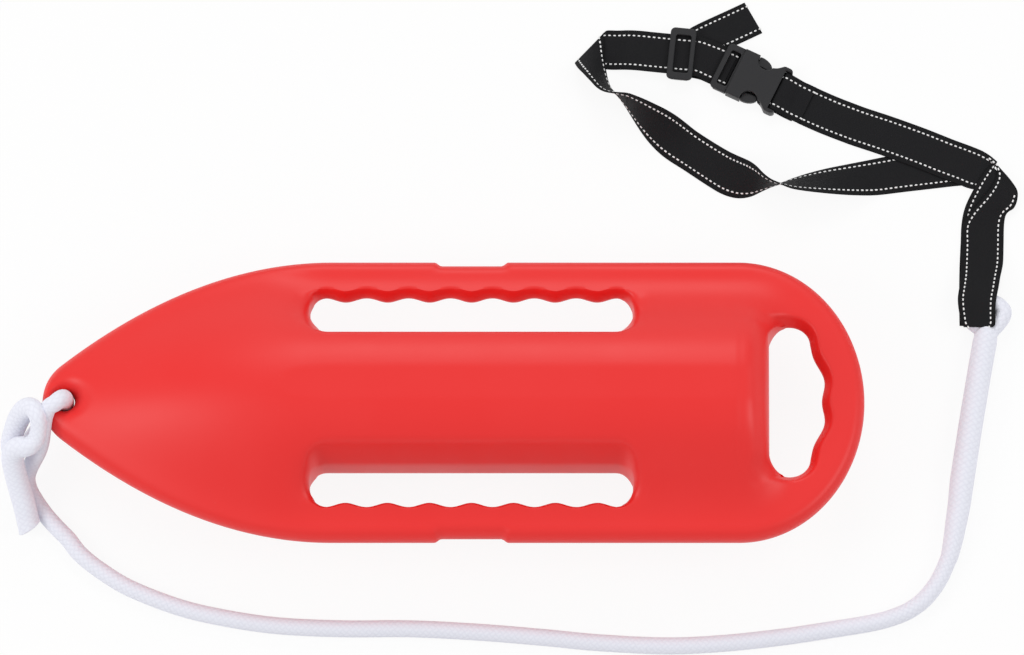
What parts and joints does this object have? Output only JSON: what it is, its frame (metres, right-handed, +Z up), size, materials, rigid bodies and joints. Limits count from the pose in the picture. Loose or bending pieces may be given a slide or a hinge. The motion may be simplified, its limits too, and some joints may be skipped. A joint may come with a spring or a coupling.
{
  "type": "lifeguard rescue float",
  "caption": "Rigid moulded swim float with two side grips and a stern grip, a tow rope knotted through its bow eye, and a webbing shoulder strap with a side-release buckle and slider.",
  "frame": {"origin": "middle of the hull in plan, on the plane that the keel rests on", "axes": "+X from the bow to the stern grip, along the hull; +Y to the side on which the shoulder strap lies; +Z up"},
  "size_m": [0.9203, 0.6188, 0.1302],
  "materials": {
    "hull": "satin moulded polyethylene",
    "hull_plug": "welded polyethylene",
    "rope": "hollow-braid synthetic rope",
    "webbing": "flat woven webbing with white dashes",
    "buckle": "dark grey moulded plastic"
  },
  "bodies": {
    "float": {"float_shell": "hull", "blow_hole_plug": "hull_plug", "tow_rope": "rope", "bow_knot": "rope", "rope_tail": "rope", "rope_splice": "rope", "rope_eye": "rope", "strap_anchor_loop": "webbing", "strap_stem_front": "webbing", "strap_stem_back": "webbing", "strap_upper_band": "webbing", "strap_lower_band": "webbing", "strap_wide_band": "webbing", "strap_corner": "webbing", "strap_top_band": "webbing", "strap_return_band": "webbing", "buckle_plug": "buckle"},
    "socket": {"buckle_socket": "buckle", "strap_socket_loop": "webbing"},
    "prong_left": {"prong_left": "buckle"},
    "prong_right": {"prong_right": "buckle"},
    "slider": {"strap_slider": "buckle", "strap_tail": "webbing"}
  },
  "joints": [
    {"name": "buckle_release", "type": "slide", "parent": "float", "child": "socket", "axis": [0.9011, -0.4337, 0], "range_m": [0, 0.024], "deforming": ["strap_upper_band"]},
    {"name": "prong_left_flex", "type": "hinge", "parent": "float", "child": "prong_left", "pos_m": [0.26682, 0.34411, 0.0058], "axis": [0, 0, 1], "range_deg": [-14.2, 0], "stiffness_Nm_per_rad": 0.02},
    {"name": "prong_right_flex", "type": "hinge", "parent": "float", "child": "prong_right", "pos_m": [0.25329, 0.31599, 0.0058], "axis": [0, 0, 1], "range_deg": [0, 14.2], "stiffness_Nm_per_rad": 0.02},
    {"name": "slider_travel", "type": "slide", "parent": "float", "child": "slider", "axis": [0.9945, -0.1045, 0], "range_m": [-0.024, 0], "deforming": ["strap_return_band"]}
  ],
  "couplings": [
    {"joint": "prong_left_flex", "follows": "buckle_release", "rad_per_m": -10.18},
    {"joint": "prong_right_flex", "follows": "buckle_release", "rad_per_m": 10.18}
  ]
}
